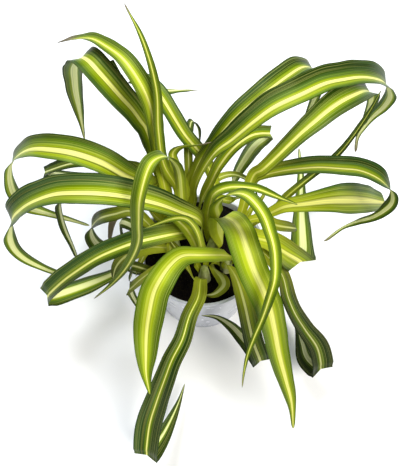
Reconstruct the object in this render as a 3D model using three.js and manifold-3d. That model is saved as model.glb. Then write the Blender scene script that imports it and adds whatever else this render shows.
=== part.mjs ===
// A potted spider plant (Chlorophytum comosum, the kind with a cream stripe down each leaf): a plain white
// pot, the potting mix in it, eight shoots that stand in holes in the mix, and forty-four strap leaves that
// rise from the shoots, arch over the rim and hang, some of them creased where they have folded over.
//
// Millimetres, +Z up. The origin is the middle of the pot's flat base, and -Y is the side that faces the
// viewer. Each leaf is one closed blade lofted along its own middle line. A middle line is a short list of
// points, a new list starts at each crease, and the first two points come from the leaf's seat on its shoot.

import * as THREE from "three";
import { mergeVertices } from "three/addons/utils/BufferGeometryUtils.js";
import Module from "manifold-3d";

// ------------------------------------------------------------------------------------------------------
// Driving dimensions, mm
// ------------------------------------------------------------------------------------------------------

const POT_HEIGHT = 102;
const POT_RIM_RADIUS = 66;
const POT_BASE_RADIUS = 52;
const POT_WALL = 2.2;
const POT_FLOOR = 3;
const LIP_HEIGHT = 3.4; // the rolled lip
const LIP_STEP = 1; // how far the lip stands out of the wall
const POT_SIDES = 48;
const DRAIN_RADIUS = 4;
const DRAIN_CIRCLE = 26;
const DRAIN_COUNT = 4;

const SOIL_TOP = 93;
const SOIL_RELIEF = 1.6; // height of the lumps in the mix
const SOIL_RINGS = 9;
const SOIL_SIDES = 40;
const FIT_GAP = 0.35; // running gap between pieces that touch

const CROWN_RADIUS = 7; // where a shoot leaves the mix
const CROWN_TIP_RADIUS = 3.4;
const ROOT_DEPTH = 34; // how far a shoot's fleshy root goes down into the mix
const ROOT_TIP_RADIUS = 2;
const CROWN_SIDES = 14;

const LOWEST_SEAT = 5; // height of a shoot's outermost leaf above the mix
const SEAT_STEP = 4.4; // each further leaf of a shoot sits this much higher
const SEAT_CLEARANCE = 0.75; // from the shoot's skin to the middle of the blade
const SEAT_LEAN = 0.42; // outward lean of a leaf as it leaves its shoot, per unit of height
const SEAT_RUN = 13; // length of the straight run at the seat

const BLADE_THICKNESS = 0.9;
const BLADE_PITCH = 21; // spacing of the blade's sections along its length
const FEWEST_SPANS = 9; // a short blade's sections stand closer, so that it has this many spans
const CROWDING = 0.6; // no section stands nearer than this share of the pitch to a crease or the tip
const CHANNEL_BASE = 0.3; // how far the edges stand up, per unit of half width
const CHANNEL_MIDDLE = 0.26;
const CHANNEL_TIP = 0.45;
const CREASE_NOTCH = 0.3; // how far the midrib is drawn in at a crease, per unit of half width
const CREASE_MITRE = 2.4; // most that a blade thickens at a crease, where its two faces are mitred
const FINE_STEPS_PER_MM = 0.5; // along the middle line, before sections are picked
const FOOT_TWIST_LENGTH = 60; // where the twist that lays a foot flat on its shoot has run out
const SETTLING_LENGTH = 55; // how soon a twisted blade comes back to level

// ------------------------------------------------------------------------------------------------------
// Finishes
// ------------------------------------------------------------------------------------------------------

const finish = (color, roughness) => new THREE.MeshStandardMaterial({ color, roughness, metalness: 0 });
const FINISHES = {
  potWhite: finish(0xe9ebf2, 0.28),
  pottingMix: finish(0x17130f, 0.95),
  crownPale: finish(0xb9c46a, 0.5),
  leafYoung: finish(0x9cb81c, 0.38),
  leafGreen: finish(0x5c8414, 0.38),
  leafShaded: finish(0x3a5014, 0.42),
};

// ------------------------------------------------------------------------------------------------------
// Shoots and leaves. A shoot's leaves are listed from its outermost and lowest to its innermost.
// ------------------------------------------------------------------------------------------------------

const SHOOTS = {
  back_left: { at: [-30, 21] },
  back_middle: { at: [-14, 36] },
  back: { at: [9, 36] },
  middle: { at: [10, -1] },
  right: { at: [36, 14] },
  front_right: { at: [25, -19] },
  front: { at: [2, -31] },
  left: { at: [-27, -8] },
};

// name, shoot, finish, widths at even steps along the leaf, middle line and, on a leaf that rolls, its roll
// in degrees at even steps
const LEAVES = [
  // back left shoot
  ["left_under_slim", "back_left", "leafShaded", [6, 9, 12, 14, 13, 11, 8, 4],
    [[[-79, 52, 130], [-104, 40, 137], [-129, 37, 138], [-146, 41, 130], [-152, 42, 116], [-153, 37, 98],
      [-151, 30, 80], [-146, 21, 64], [-143, 14, 48]]], [0, 0, 0, 20, 20]],
  ["left_back_folded", "back_left", "leafShaded", [8, 11, 14, 15, 11, 1.2],
    [[[-65, 78, 132], [-86, 77, 140], [-113, 80, 142], [-139, 82, 138], [-173, 83, 120]],
     [[-173, 83, 120], [-146, 89, 106], [-100, 95, 96], [-81, 97, 90]]]],
  ["left_upper", "back_left", "leafGreen", [8, 14, 22, 25, 25, 23, 20, 17, 8, 3],
    [[[-50, 22, 136], [-57, 34, 160], [-54, 35, 168], [-72, 33, 190], [-93, 37, 207], [-117, 43, 213],
      [-142, 51, 208], [-163, 60, 196], [-179, 66, 180], [-192, 69, 162], [-200, 69, 144],
      [-203, 65, 128], [-202, 60, 112], [-195, 55, 98], [-174, 54, 82], [-150, 53, 68], [-131, 52, 56]]],
    [0, -8, -12, -6, 20, 25]],
  ["back_left_broad", "back_left", "leafGreen", [8, 15, 21, 27, 27, 24, 18, 2],
    [[[-41, 50, 152], [-55, 82, 196], [-60, 84, 207], [-67, 88, 219], [-76, 90, 234], [-86, 96, 246],
      [-95, 104, 252], [-104, 115, 253], [-113, 127, 246], [-121, 138, 230], [-130, 152, 206],
      [-136, 164, 178], [-140, 169, 152], [-142, 171, 126], [-142, 165, 104], [-141, 154, 84]]]],
  ["back_left_slim", "back_left", "leafYoung", [8, 12, 14, 16, 17, 16, 14, 11, 3],
    [[[-37, 40, 150], [-43, 59, 186], [-44, 61, 212], [-44, 59, 238], [-46, 63, 256], [-51, 70, 268],
      [-59, 82, 274], [-70, 98, 275], [-86, 117, 270], [-103, 137, 260], [-123, 152, 245],
      [-145, 165, 228]]]],
  ["back_upright_slim", "back_left", "leafYoung", [6.2, 9, 9.9, 8.6, 5.6, 1.2],
    [[[-25, 40, 150], [-37, 46, 186], [-40, 52, 232], [-40, 66, 272], [-49, 89, 300], [-67, 128, 308]]]],
  ["centre_left_hanging", "back_left", "leafYoung", [7.5, 13.7, 14.7, 12.2, 7.7, 1.2],
    [[[-21, 16, 150], [-23, 30, 195], [-28, 19, 232], [-34, 12, 248], [-44, -1, 256], [-53, -23, 240],
      [-56, -33, 214], [-58, -39, 190], [-70, -45, 156], [-89, -50, 122], [-111, -54, 92]]]],
  ["back_small_curl", "back_left", "leafYoung", [5, 9, 10, 9, 6, 1.2],
    [[[-16, 33, 160], [-29, 57, 187], [-26, 58, 196], [-19, 56, 204], [-5, 54, 208], [8, 57, 208]]]],

  // back middle shoot
  ["back_left_shaded", "back_middle", "leafShaded", [7, 12, 14, 14, 12, 7, 1.2],
    [[[-23, 53, 140], [-52, 83, 160], [-61, 96, 178], [-71, 114, 190], [-84, 136, 198], [-97, 168, 200]],
     [[-96, 160, 208], [-103, 165, 178], [-109, 163, 150]]]],
  ["back_short_loop", "back_middle", "leafShaded", [5.6, 7.3, 8.8, 8.6, 6, 1.2],
    [[[-13, 53, 140], [-14, 64, 160], [-14, 77, 180], [-11, 96, 190], [-5, 98, 178], [-3, 94, 146]]]],
  ["back_right_kinked", "back_middle", "leafGreen", [7, 11, 13, 15, 17, 18, 15, 9],
    [[[0, 36, 142], [8, 39, 166], [16, 45, 186], [26, 54, 197], [37, 62, 203], [49, 70, 203],
      [67, 76, 198]],
     [[67, 76, 198], [54, 80, 176], [45, 87, 140], [37, 86, 112], [34, 87, 94]]], [0, 0, 0, 0, -45, -50]],
  ["back_right_high", "back_middle", "leafGreen", [7, 9, 12, 17, 21, 22, 18, 13, 4],
    [[[-12, 52, 148], [-4, 60, 172], [3, 62, 186], [27, 69, 228], [46, 81, 240], [61, 91, 246],
      [76, 105, 246], [92, 121, 241], [106, 133, 226], [115, 142, 205], [119, 146, 180], [119, 149, 155],
      [115, 147, 130]]], [0, 0, 0, 4, 0, 0]],
  ["back_right_long", "back_middle", "leafGreen", [8, 10, 13, 20, 24, 26, 28, 29, 25, 16, 8, 4],
    [[[-8, 46, 150], [11, 52, 201], [27, 53, 222], [44, 56, 243], [61, 62, 256], [84, 71, 262],
      [107, 87, 258], [126, 99, 250], [145, 111, 240], [163, 122, 227], [179, 133, 210], [191, 140, 190],
      [197, 144, 172], [196, 146, 155], [191, 149, 136], [186, 149, 118], [181, 145, 102],
      [181, 135, 86]]], [0, 4, 8, 10, 12, 11, 10, 20, 5, 0, 0]],

  // back shoot
  ["back_small_arch", "back", "leafShaded", [5.6, 7.3, 8.8, 8.6, 6, 1.2],
    [[[7, 53, 134], [16, 61, 140], [31, 66, 140], [48, 67, 128], [57, 65, 112], [62, 60, 100]]]],
  ["back_left_folded", "back", "leafGreen", [7.5, 13, 17, 16, 10, 1.2],
    [[[15, 42, 137], [9, 56, 156], [0, 69, 169], [-18, 76, 196], [-41, 100, 225], [-56, 124, 218],
      [-73, 141, 202]],
     [[-73, 141, 202], [-42, 159, 166], [-25, 175, 148], [-4, 193, 128]]]],
  ["back_inner_young", "back", "leafYoung", [7, 11, 12, 9, 4],
    [[[12, 31, 147], [30, 25, 153], [33, 21, 164], [44, 18, 176]]]],

  // middle shoot
  ["left_front_folded", "middle", "leafGreen", [8, 16, 22, 23, 24, 25, 22, 12],
    [[[-14, -6, 146], [-23, -9, 151], [-44, -14, 152], [-67, -18, 148], [-85, -22, 142],
      [-104, -26, 132], [-124, -32, 118], [-143, -38, 102], [-165, -47, 80]],
     [[-165, -47, 80], [-148, -35, 68], [-125, -22, 60], [-107, -11, 54], [-91, -1, 50]]]],
  ["left_long", "middle", "leafGreen", [8, 13, 21, 27, 29, 30, 21, 13, 6],
    [[[-3, -4, 168], [-22, -6, 190], [-39, -7, 205], [-66, -7, 218], [-87, -8, 225], [-110, -6, 223],
      [-130, -1, 213], [-151, 2, 198], [-169, 4, 181], [-183, 4, 163], [-189, 2, 144], [-194, -1, 124],
      [-194, -4, 106], [-188, -6, 88], [-174, -8, 70], [-157, -11, 58]]],
    [0, -4, -8, -12, -12, -10, -10, -26, 26, 25, 25]],
  ["front_right_broad", "middle", "leafYoung", [8, 21, 26, 27, 26, 24, 20, 13, 3],
    [[[17, -4, 150], [18, -5, 172], [26, -17, 187], [32, -35, 199], [36, -56, 207], [41, -75, 207],
      [48, -89, 200], [55, -100, 186], [61, -111, 164], [68, -127, 136], [76, -143, 112], [83, -159, 92],
      [86, -179, 74]]]],
  ["centre_right_curl", "middle", "leafYoung", [8, 13, 14.5, 12.5, 10, 7, 1.2],
    [[[5, 9, 146], [6, 6, 168], [8, 5, 186], [10, 4, 199], [16, 3, 209], [25, 2, 215], [36, 0, 218],
      [47, -1, 217], [58, -3, 213], [71, -4, 205], [87, -2, 192]]], [0, 30, 38, 10, 0, 0]],
  ["centre_front_curl", "middle", "leafYoung", [8, 13, 15, 13.5, 11, 8, 5, 1.2],
    [[[15, 4, 149], [15, 0, 168], [13, -3, 189], [17, -8, 210], [22, -14, 226], [30, -18, 236],
      [37, -24, 241], [44, -33, 242], [50, -43, 240], [54, -55, 237], [57, -67, 234], [58, -79, 230],
      [57, -93, 226], [53, -105, 214], [49, -114, 196], [43, -125, 180], [38, -136, 166],
      [35, -149, 154], [34, -158, 146]]]],

  // right shoot
  ["right_tiny", "right", "leafShaded", [3.8, 5.2, 6, 5.4, 3.8, 1.2],
    [[[54, 37, 126], [62, 40, 136], [67, 52, 140]]]],
  ["right_short", "right", "leafShaded", [7.5, 11, 13, 13.5, 12, 8],
    [[[60, 21, 127], [75, 17, 120], [92, 21, 107], [101, 25, 98]]]],
  ["right_front_folded", "right", "leafShaded", [8, 15, 17, 19, 26, 20, 1.2],
    [[[61, -9, 111], [73, -19, 104], [83, -30, 95], [88, -51, 89], [94, -68, 87], [106, -80, 71],
      [120, -95, 56], [126, -115, 40]],
     [[126, -115, 40], [113, -98, 33], [110, -81, 28], [107, -63, 23], [103, -50, 18]]]],
  ["right_kinked", "right", "leafGreen", [9, 24, 31, 28, 22, 14, 8, 3],
    [[[56, -2, 126], [66, -4, 124], [78, -8, 116], [92, -12, 103], [106, -14, 88]],
     [[106, -14, 88], [111, 10, 76], [114, 42, 66], [117, 74, 58], [120, 108, 52], [123, 143, 46],
      [124, 173, 42]]]],
  ["right_back_slim", "right", "leafGreen", [6, 8, 8, 7, 5, 1.2],
    [[[71, 27, 128], [87, 39, 142], [105, 48, 158], [133, 66, 172], [147, 76, 191], [166, 102, 200],
      [182, 131, 197]]]],
  ["right_broad", "right", "leafGreen", [8, 9, 13, 19, 26, 33, 34, 32, 28, 20],
    [[[60, 17, 136], [71, 20, 142], [82, 22, 149], [103, 24, 152], [127, 33, 143], [152, 45, 125],
      [181, 60, 99], [199, 70, 80], [213, 77, 66]]], [0, 14, 22, 22, 14, 0]],
  ["right_long", "right", "leafGreen", [7, 11, 15, 18, 20, 21, 18, 12.5, 8, 4],
    [[[53, 46, 164], [60, 48, 167], [76, 50, 172], [93, 48, 180], [113, 48, 183], [134, 46, 184],
      [151, 47, 180], [165, 46, 174], [176, 43, 168], [184, 40, 160], [190, 36, 152], [191, 31, 143],
      [185, 28, 131], [177, 28, 118], [166, 31, 104], [154, 31, 91], [134, 20, 78]]],
    [0, 5, 10, 12, 14, 14, 6, -50, -22, -5, 0]],
  ["right_back", "right", "leafGreen", [8, 11, 14, 18, 25, 29, 24, 14, 6],
    [[[51, 45, 172], [58, 45, 180], [72, 53, 192], [83, 61, 200], [94, 69, 207], [106, 78, 212],
      [118, 88, 215], [133, 101, 214], [148, 113, 210], [164, 129, 198], [177, 141, 180],
      [181, 144, 160], [182, 145, 143], [180, 141, 128]]], [0, 8, 10, 6, 0, 0]],

  // front right shoot
  ["pot_curl", "front_right", "leafShaded", [5, 9, 12, 13, 12, 9, 3],
    [[[10, -19, 102], [14, -27, 103], [20, -35, 104], [22, -43, 104], [18, -49, 104], [11, -54, 104],
      [3, -55, 104]]]],
  ["front_right_folded", "front_right", "leafShaded", [7, 14, 18, 20, 18, 12, 1.2],
    [[[24, -28, 118], [28, -35, 123], [34, -51, 129], [40, -73, 126], [45, -88, 110], [50, -101, 94],
      [59, -115, 72]],
     [[59, -115, 72], [51, -98, 66], [41, -84, 62], [30, -72, 62], [15, -63, 63], [-1, -61, 63]]]],
  ["front_left_arch", "front_right", "leafYoung", [8, 13, 17, 22, 27, 21, 3],
    [[[37, -22, 122], [31, -30, 140], [17, -38, 158], [-1, -44, 170], [-18, -50, 180], [-28, -62, 186],
      [-36, -76, 187], [-41, -85, 182], [-45, -99, 172], [-48, -113, 160], [-49, -131, 150],
      [-49, -146, 143], [-46, -162, 137]]]],

  // front shoot
  ["pot_inner", "front", "leafShaded", [6.2, 8.1, 9.8, 9.6, 6.7, 1.2],
    [[[-6, -46, 116], [-13, -41, 128], [-20, -31, 140], [-37, -5, 140]]]],
  ["front_long_folded", "front", "leafGreen", [8, 13, 15, 18, 22, 26, 22, 11, 1.2],
    [[[-2, -53, 134], [-4, -76, 148], [-12, -97, 154], [-18, -117, 150], [-27, -132, 140],
      [-34, -145, 124], [-43, -161, 98], [-50, -176, 76], [-55, -202, 50]],
     [[-55, -202, 50], [-41, -180, 36], [-33, -163, 28], [-25, -142, 20], [-19, -121, 14]]]],
  ["young_short", "front", "leafYoung", [7.5, 10.4, 12, 10.7, 7, 1.2],
    [[[-5, -27, 128], [-7, -21, 147], [-15, -12, 162], [-25, -4, 168], [-38, 8, 166], [-52, 18, 156]]]],
  ["young_curl", "front", "leafYoung", [5.6, 8.1, 8.9, 7.7, 5.1, 1.2],
    [[[3, -27, 132], [-1, -27, 154], [-4, -24, 172], [-8, -22, 186], [-15, -22, 200], [-24, -25, 207],
      [-51, -29, 196]]]],

  // left shoot
  ["left_dry_slim", "left", "leafShaded", [4.5, 6, 8, 10, 8, 4],
    [[[-50, 13, 119], [-68, 30, 118], [-84, 38, 108], [-97, 36, 94], [-104, 25, 68]]],
    [0, 0, 0, 30, 70, 70]],
  ["left_low_curl", "left", "leafShaded", [5.6, 8, 10, 11, 9, 4],
    [[[-49, 0, 122], [-68, -2, 114], [-80, -7, 102], [-82, -13, 90], [-74, -17, 80], [-61, -17, 73]]]],
  ["left_low_small", "left", "leafShaded", [5, 6.5, 7.8, 7.7, 5.4, 1.2],
    [[[-39, -6, 122], [-54, -11, 120], [-63, -20, 108], [-70, -27, 88]]]],
  ["left_low_folded", "left", "leafShaded", [7.5, 9, 10, 9, 6],
    [[[-31, -21, 118], [-50, -32, 114], [-77, -39, 84]],
     [[-77, -39, 84], [-73, -43, 64], [-67, -51, 55]]]],
  ["left_low_short", "left", "leafShaded", [8, 12, 15, 15, 10, 1.2],
    [[[-34, -14, 127], [-53, -14, 130], [-76, -17, 118], [-89, -22, 102], [-95, -30, 84]]],
    [0, 80, 120, 130, 120, 112]],
  ["left_inner_curl", "left", "leafShaded", [6, 10, 13, 15, 17, 18, 17],
    [[[-45, 3, 128], [-71, 20, 142], [-89, 19, 138], [-103, 21, 128], [-112, 24, 114], [-119, 23, 100],
      [-120, 21, 86], [-115, 17, 74], [-105, 14, 64]]], [0, 0, -10, -10, 20, 30]],
  ["left_inner_slim", "left", "leafShaded", [5, 8, 12, 12, 7],
    [[[-36, 12, 101], [-55, 10, 112], [-84, 23, 115], [-90, 29, 92], [-89, 20, 78]]]],
  ["left_inner_short", "left", "leafShaded", [6, 8, 10, 10, 6],
    [[[-34, -21, 102], [-44, -29, 103], [-71, -25, 109], [-73, -22, 90], [-78, -27, 76]]]],
];

// ------------------------------------------------------------------------------------------------------
// Solids
// ------------------------------------------------------------------------------------------------------

const wasm = await Module();
wasm.setup();

/** A manifold-3d solid from a closed three.js geometry. */
function solid(geometry) {
  const bare = geometry.clone();
  bare.deleteAttribute("normal");
  bare.deleteAttribute("uv");
  const merged = mergeVertices(bare, 1e-4);
  return new wasm.Manifold(
    new wasm.Mesh({
      numProp: 3,
      vertProperties: merged.attributes.position.array,
      triVerts: new Uint32Array(merged.index.array),
    }),
  );
}

/** The three.js geometry of a manifold-3d solid. */
function geometryOf(manifold) {
  const mesh = manifold.getMesh();
  const geometry = new THREE.BufferGeometry();
  geometry.setAttribute("position", new THREE.BufferAttribute(mesh.vertProperties, 3));
  geometry.setIndex(new THREE.BufferAttribute(mesh.triVerts, 1));
  geometry.computeVertexNormals();
  return geometry;
}

const group = new THREE.Group();

function addPiece(name, geometry, material) {
  const mesh = new THREE.Mesh(geometry, FINISHES[material]);
  mesh.name = name;
  group.add(mesh);
}

/** A body turned about Z from [radius, height] pairs that start and end on the axis. */
function turned(profile, sides) {
  const points = profile.map(([radius, height]) => new THREE.Vector2(radius, height));
  return new THREE.LatheGeometry(points, sides).rotateX(Math.PI / 2);
}

const mix = THREE.MathUtils.lerp;
const smooth = THREE.MathUtils.smoothstep;

// Pot --------------------------------------------------------------------------------------------------

const outerRadius = (z) => mix(POT_BASE_RADIUS, POT_RIM_RADIUS - LIP_STEP, z / POT_HEIGHT);
const innerRadius = (z) => outerRadius(z) - POT_WALL;

function makePot() {
  const lipFoot = POT_HEIGHT - LIP_HEIGHT;
  const profile = [
    [0, 0],
    [POT_BASE_RADIUS - 1.8, 0],
    [outerRadius(0.5) - 0.4, 0.5],
    [outerRadius(2), 2],
    [outerRadius(lipFoot), lipFoot],
    [POT_RIM_RADIUS - 0.2, lipFoot + 0.9],
    [POT_RIM_RADIUS, POT_HEIGHT - 1.4],
    [POT_RIM_RADIUS - 0.7, POT_HEIGHT - 0.3],
    [POT_RIM_RADIUS - 1.6, POT_HEIGHT],
    [innerRadius(POT_HEIGHT) + 0.5, POT_HEIGHT - 0.4],
    [innerRadius(POT_HEIGHT - 1.6), POT_HEIGHT - 1.6],
    [innerRadius(POT_FLOOR + 3), POT_FLOOR + 3],
    [innerRadius(POT_FLOOR) - 3, POT_FLOOR],
    [0, POT_FLOOR],
  ];
  let pot = solid(turned(profile, POT_SIDES));
  for (let i = 0; i < DRAIN_COUNT; i++) {
    const angle = ((i + 0.5) / DRAIN_COUNT) * 2 * Math.PI;
    const drain = new THREE.CylinderGeometry(DRAIN_RADIUS, DRAIN_RADIUS, 4 * POT_FLOOR, 12)
      .rotateX(Math.PI / 2)
      .translate(DRAIN_CIRCLE * Math.cos(angle), DRAIN_CIRCLE * Math.sin(angle), 0);
    pot = pot.subtract(solid(drain));
  }
  addPiece("pot", geometryOf(pot), "potWhite");
}

// Shoots -----------------------------------------------------------------------------------------------

const leafCount = (shoot) => LEAVES.filter((leaf) => leaf[1] === shoot).length;
const shootHeight = (shoot) => LOWEST_SEAT + SEAT_STEP * leafCount(shoot) + 3;

/** Radius of a shoot's skin at a height above the mix. */
const crownRadius = (shoot, height) => mix(CROWN_RADIUS, CROWN_TIP_RADIUS, height / shootHeight(shoot));

/** A shoot: its pale crown above the mix and its fleshy root below. grow makes the hole it stands in. */
function crownSolid(shoot, grow = 0) {
  const [x, y] = SHOOTS[shoot].at;
  const top = shootHeight(shoot);
  const profile = [
    [0, -ROOT_DEPTH - grow],
    [ROOT_TIP_RADIUS + grow, -ROOT_DEPTH - grow],
    [CROWN_RADIUS * 0.8 + grow, -ROOT_DEPTH * 0.45],
    [CROWN_RADIUS + grow, -3],
    [CROWN_RADIUS + grow, 0],
    [crownRadius(shoot, top * 0.5) + grow, top * 0.5],
    [CROWN_TIP_RADIUS + grow, top - 1.5],
    [CROWN_TIP_RADIUS * 0.5 + grow, top],
    [0, top],
  ];
  return solid(turned(profile, CROWN_SIDES).translate(x, y, SOIL_TOP));
}

function makeShoots() {
  for (const shoot of Object.keys(SHOOTS)) {
    addPiece(`crown_${shoot}`, geometryOf(crownSolid(shoot)), "crownPale");
  }
}

// Potting mix ------------------------------------------------------------------------------------------

/** The lumps in the top of the mix, 0 at the pot's wall. */
function soilLumps(x, y) {
  const coarse = Math.sin(x * 0.31 + y * 0.17) + Math.sin(x * -0.21 + y * 0.37 + 1.3);
  const fine = 0.7 * Math.sin(x * 0.63 - y * 0.11);
  return (SOIL_RELIEF * (coarse + fine)) / 2.7;
}

function makeSoil() {
  const floor = POT_FLOOR + FIT_GAP;
  const rim = innerRadius(SOIL_TOP) - FIT_GAP;
  const foot = innerRadius(POT_FLOOR) - 3 - FIT_GAP;
  const profile = [
    [0, floor],
    [foot, floor],
    [innerRadius(POT_FLOOR + 3) - FIT_GAP - 0.2, POT_FLOOR + 3 + FIT_GAP],
  ];
  for (let ring = SOIL_RINGS; ring > 0; ring--) profile.push([(rim * ring) / SOIL_RINGS, SOIL_TOP]);
  profile.push([0, SOIL_TOP]);
  const body = turned(profile, SOIL_SIDES);
  const places = body.getAttribute("position");
  for (let i = 0; i < places.count; i++) {
    if (Math.abs(places.getZ(i) - SOIL_TOP) > 1e-3) continue;
    const x = places.getX(i);
    const y = places.getY(i);
    const fade = 1 - smooth(Math.hypot(x, y), rim * 0.9, rim);
    places.setZ(i, SOIL_TOP + fade * soilLumps(x, y));
  }
  let soil = solid(body);
  for (const shoot of Object.keys(SHOOTS)) soil = soil.subtract(crownSolid(shoot, FIT_GAP));
  addPiece("potting_mix", geometryOf(soil), "pottingMix");
}

// Leaves -----------------------------------------------------------------------------------------------

/** A leaf's foot: the side of its shoot it stands on and the first two points of its middle line. */
function footOf(shoot, order, first) {
  const height = LOWEST_SEAT + SEAT_STEP * order;
  const axis = new THREE.Vector3(...SHOOTS[shoot].at, SOIL_TOP + height);
  const away = first.clone().sub(axis).setZ(0).normalize();
  const seat = axis.addScaledVector(away, crownRadius(shoot, height) + SEAT_CLEARANCE);
  const rise = new THREE.Vector3(0, 0, 1).addScaledVector(away, SEAT_LEAN).normalize();
  return { away, points: [seat, seat.clone().addScaledVector(rise, SEAT_RUN)] };
}

/**
 * Turns the across direction with the middle line's tangent, the shortest way, and lets it settle a little
 * towards level, the more the flatter the leaf lies.
 */
function carry(across, from, to, step) {
  const turned = across.clone().applyQuaternion(new THREE.Quaternion().setFromUnitVectors(from, to));
  const level = new THREE.Vector3(to.y, -to.x, 0);
  const flatness = level.length();
  if (level.dot(turned) < 0) level.negate();
  return turned
    .addScaledVector(level, (flatness * step) / SETTLING_LENGTH)
    .addScaledVector(to, -turned.dot(to))
    .normalize();
}

/**
 * Sections along a leaf. Between creases the across direction is carried along the line. At a crease the
 * blade folds flat about a line in its own plane, which fixes the across direction on the far side and skews
 * the section. The foot of the blade is twisted so that it lies flat against its shoot.
 */
function sectionsOf(parts, facing, away, rolls) {
  const curves = parts.map((points) => new THREE.CatmullRomCurve3(points, false, "centripetal"));
  const lengths = curves.map((curve) => curve.getLength());
  const total = lengths.reduce((sum, length) => sum + length, 0);
  const sections = [];
  let across = null;
  let footTwist = 0;
  let travelled = 0;
  curves.forEach((curve, index) => {
    const count = Math.max(8, Math.round(lengths[index] * FINE_STEPS_PER_MM));
    const places = curve.getSpacedPoints(count);
    const tangents = places.map((_, i) => curve.getTangentAt(i / count));
    if (!across) {
      across = new THREE.Vector3().crossVectors(tangents[0], facing).normalize();
      const atFoot = new THREE.Vector3().crossVectors(away, tangents[0]).normalize();
      footTwist = Math.atan2(tangents[0].dot(across.clone().cross(atFoot)), across.dot(atFoot));
    }
    if (sections.length) {
      const before = sections[sections.length - 1];
      const turn = Math.atan2(1 - before.tangent.dot(tangents[0]), across.dot(tangents[0]));
      const fold = before.tangent.clone().multiplyScalar(Math.cos(turn));
      fold.addScaledVector(across, Math.sin(turn));
      across = fold.addScaledVector(tangents[0], -Math.cos(turn)).normalize();
      before.crease = { skew: 1 / Math.tan(turn), tangent: tangents[0].clone(), across: across.clone() };
    }
    for (let i = 0; i <= count; i++) {
      if (i > 0) across = carry(across, tangents[i - 1], tangents[i], lengths[index] / count);
      if (index > 0 && i === 0) continue;
      const along = travelled + (lengths[index] * i) / count;
      const share = along / total;
      sections.push({ at: places[i], tangent: tangents[i], across: across.clone(), along, share });
    }
    travelled += lengths[index];
  });
  for (const section of sections) {
    const roll = rolls ? THREE.MathUtils.degToRad(valueAlong(rolls, section.share)) : 0;
    const twist = footTwist * (1 - smooth(section.along, SEAT_RUN, FOOT_TWIST_LENGTH));
    section.across.applyAxisAngle(section.tangent, roll + twist);
    if (section.crease) section.crease.across.applyAxisAngle(section.crease.tangent, roll);
  }
  return { sections, total };
}

/** The value at a share of a leaf's length, from values at even steps, eased from each to the next. */
function valueAlong(values, share) {
  const place = Math.min(share, 0.99999) * (values.length - 1);
  const step = Math.floor(place);
  const before = values[Math.max(step - 1, 0)];
  const [from, to] = values.slice(step, step + 2);
  const after = values[Math.min(step + 2, values.length - 1)];
  const t = place - step;
  const square = 2 * before - 5 * from + 4 * to - after;
  const cube = 3 * (from - to) + after - before;
  return from + 0.5 * ((to - before) * t + square * t ** 2 + cube * t ** 3);
}

/** How far the edges stand up above the midrib, per unit of half width. */
function channelAt(share) {
  if (share < 0.4) return mix(CHANNEL_BASE, CHANNEL_MIDDLE, share / 0.4);
  return mix(CHANNEL_MIDDLE, CHANNEL_TIP, (share - 0.4) / 0.6);
}

/** The sections a blade is built from: one every pitch, and one at each end and each crease. */
function chosenSections(sections, total) {
  const pitch = Math.min(BLADE_PITCH, total / FEWEST_SPANS);
  const creases = sections.filter((section) => section.crease);
  const last = sections[sections.length - 1];
  const chosen = [sections[0]];
  for (const section of sections.slice(1)) {
    const due = section.along - chosen[chosen.length - 1].along >= pitch;
    const stops = [...creases.map((crease) => crease.along), total].filter((stop) => stop > section.along);
    const crowded = stops.some((stop) => stop - section.along < pitch * CROWDING);
    if (section === last || section.crease || (due && !crowded)) chosen.push(section);
  }
  return chosen;
}

/**
 * The six points of a section: left edge, midrib and right edge on the upper face, then back along the
 * lower face. At a crease the section is flat and skewed, and the midrib is drawn in.
 */
function sectionPoints(section, half) {
  const { at, tangent, crease } = section;
  const rung = section.across.clone();
  const normal = new THREE.Vector3().crossVectors(rung, tangent).normalize();
  const middle = at.clone();
  let lift = channelAt(section.share) * half;
  let thick = BLADE_THICKNESS / 2;
  if (crease) {
    const nextNormal = new THREE.Vector3().crossVectors(crease.across, crease.tangent).normalize();
    thick *= Math.min(CREASE_MITRE, 1 / Math.sqrt(Math.max(0.05, (1 + normal.dot(nextNormal)) / 2)));
    lift = 0;
    normal.add(nextNormal).normalize();
    rung.addScaledVector(tangent, crease.skew);
    middle.addScaledVector(crease.tangent.clone().sub(tangent).normalize(), CREASE_NOTCH * half);
  }
  const rib = (level) => middle.clone().addScaledVector(normal, level);
  const edge = (side, level) => {
    return at.clone().addScaledVector(rung, side * half).addScaledVector(normal, lift + level);
  };
  return [edge(-1, thick), rib(thick), edge(1, thick), edge(1, -thick), rib(-thick), edge(-1, -thick)];
}

/** One closed blade: six points round each section, and a flat end at the seat and at the fine tip. */
function bladeGeometry(parts, facing, away, widths, rolls) {
  const { sections, total } = sectionsOf(parts, facing, away, rolls);
  const chosen = chosenSections(sections, total);
  const points = chosen.flatMap((section) => {
    return sectionPoints(section, valueAlong(widths, section.share) / 2);
  });
  const faces = [];
  const ring = 6;
  for (let row = 0; row + 1 < chosen.length; row++) {
    for (let i = 0; i < ring; i++) {
      const a = row * ring + i;
      const b = row * ring + ((i + 1) % ring);
      const under = i === 3 || i === 4; // split like the face above it
      if (under) faces.push(a, b, b + ring, a, b + ring, a + ring);
      else faces.push(a, b, a + ring, b, b + ring, a + ring);
    }
  }
  const lastRow = (chosen.length - 1) * ring;
  for (const [a, b, c] of [[0, 5, 4], [0, 4, 1], [1, 4, 3], [1, 3, 2]]) {
    faces.push(a, b, c, lastRow + a, lastRow + c, lastRow + b);
  }
  const geometry = new THREE.BufferGeometry().setFromPoints(points);
  geometry.setIndex(faces);
  geometry.computeVertexNormals();
  return geometry;
}

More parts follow.
